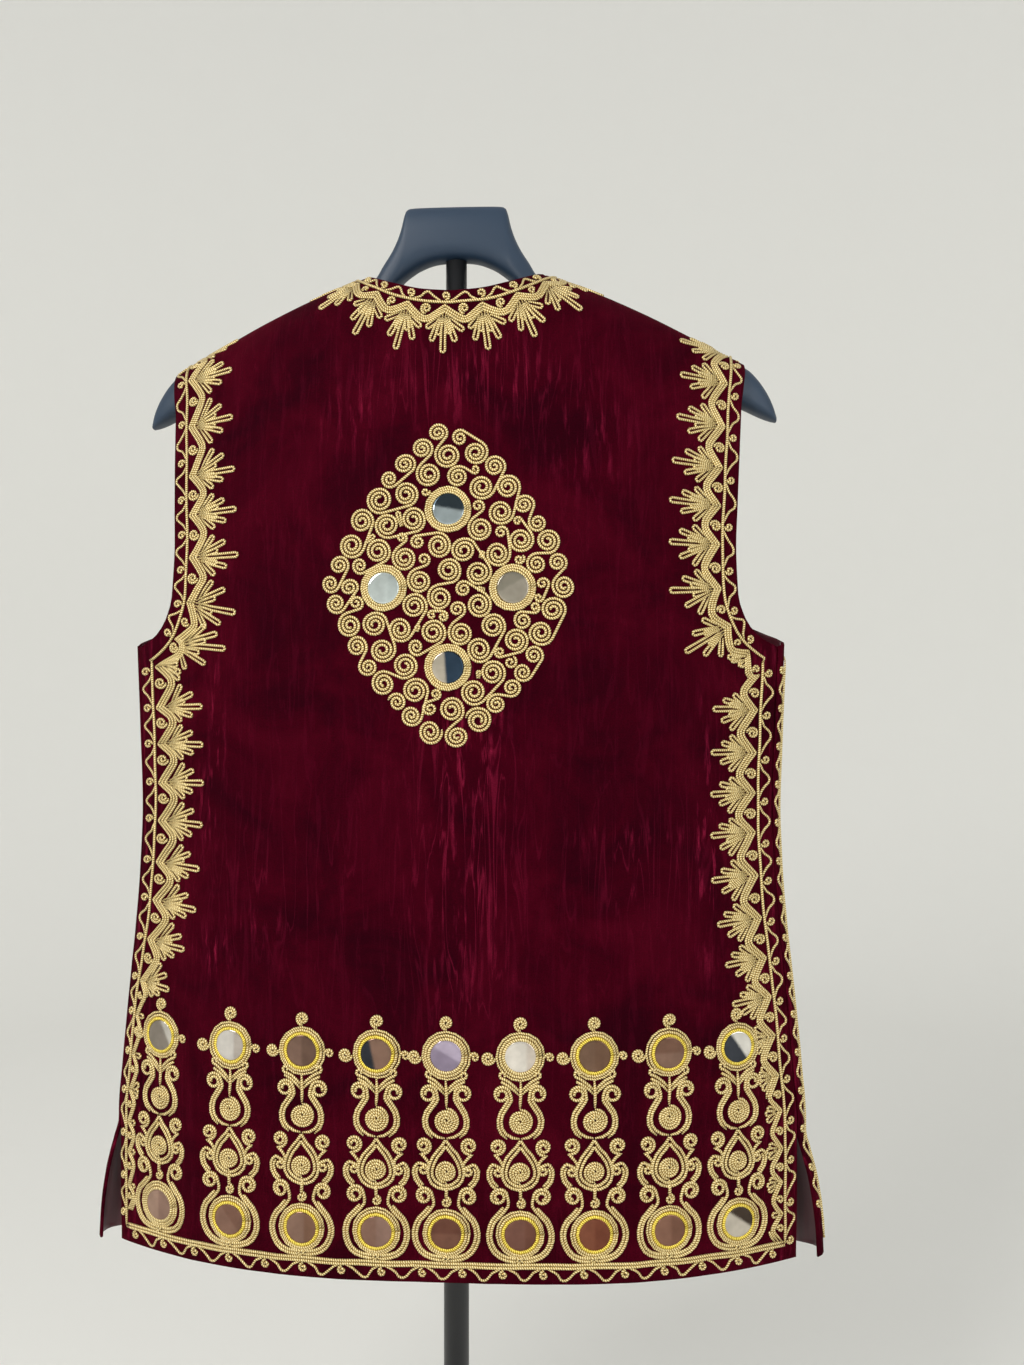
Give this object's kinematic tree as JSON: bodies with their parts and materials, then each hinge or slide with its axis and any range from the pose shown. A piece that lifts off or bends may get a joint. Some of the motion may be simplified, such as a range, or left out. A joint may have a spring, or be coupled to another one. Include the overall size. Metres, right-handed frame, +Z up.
{
  "type": "embroidered vest on display stand",
  "caption": "Velvet vest with couched gold cord and small round mirrors on its back, open at the front, on a black pole stand with a broad moulded hanger.",
  "frame": {"origin": "centre of the stand's flat underside, on the floor and on the pole's axis", "axes": "+Z up; the back of the vest faces -Y and its opening +Y; +X towards the wearer's right"},
  "size_m": [0.5157, 0.28, 1.0325],
  "materials": {
    "velvet": "dark burgundy pile velvet, crushed in places",
    "gold_cord": "twisted pale gold cord, sewn down side by side",
    "mirror_glass": "small silvered glass discs",
    "black_plastic": "satin moulded plastic",
    "black_steel": "black powder coat"
  },
  "bodies": {
    "root": {"back": "velvet", "border_armhole_back_left": "gold_cord", "border_armhole_back_right": "gold_cord", "border_armhole_front_left": "gold_cord", "border_armhole_front_right": "gold_cord", "border_hem_back": "gold_cord", "border_hem_front_left": "gold_cord", "border_hem_front_right": "gold_cord", "border_neck_back": "gold_cord", "border_opening_left": "gold_cord", "border_opening_right": "gold_cord", "border_side_back_left": "gold_cord", "border_side_back_right": "gold_cord", "border_side_front_left": "gold_cord", "border_side_front_right": "gold_cord", "front_left": "velvet", "front_right": "velvet", "hanger": "black_plastic", "medallion": "gold_cord", "mirror_lower_1": "mirror_glass", "mirror_lower_2": "mirror_glass", "mirror_lower_3": "mirror_glass", "mirror_lower_4": "mirror_glass", "mirror_lower_5": "mirror_glass", "mirror_lower_6": "mirror_glass", "mirror_lower_7": "mirror_glass", "mirror_lower_8": "mirror_glass", "mirror_lower_9": "mirror_glass", "mirror_medallion_1": "mirror_glass", "mirror_medallion_2": "mirror_glass", "mirror_medallion_3": "mirror_glass", "mirror_medallion_4": "mirror_glass", "mirror_upper_1": "mirror_glass", "mirror_upper_2": "mirror_glass", "mirror_upper_3": "mirror_glass", "mirror_upper_4": "mirror_glass", "mirror_upper_5": "mirror_glass", "mirror_upper_6": "mirror_glass", "mirror_upper_7": "mirror_glass", "mirror_upper_8": "mirror_glass", "mirror_upper_9": "mirror_glass", "ornament_column_1": "gold_cord", "ornament_column_2": "gold_cord", "ornament_column_3": "gold_cord", "ornament_column_4": "gold_cord", "ornament_column_5": "gold_cord", "ornament_column_6": "gold_cord", "ornament_column_7": "gold_cord", "ornament_column_8": "gold_cord", "ornament_column_9": "gold_cord", "pole_collar": "black_plastic", "pole_lower": "black_steel", "pole_upper": "black_steel", "stand_base": "black_steel", "stand_hub": "black_steel"}
  },
  "joints": []
}
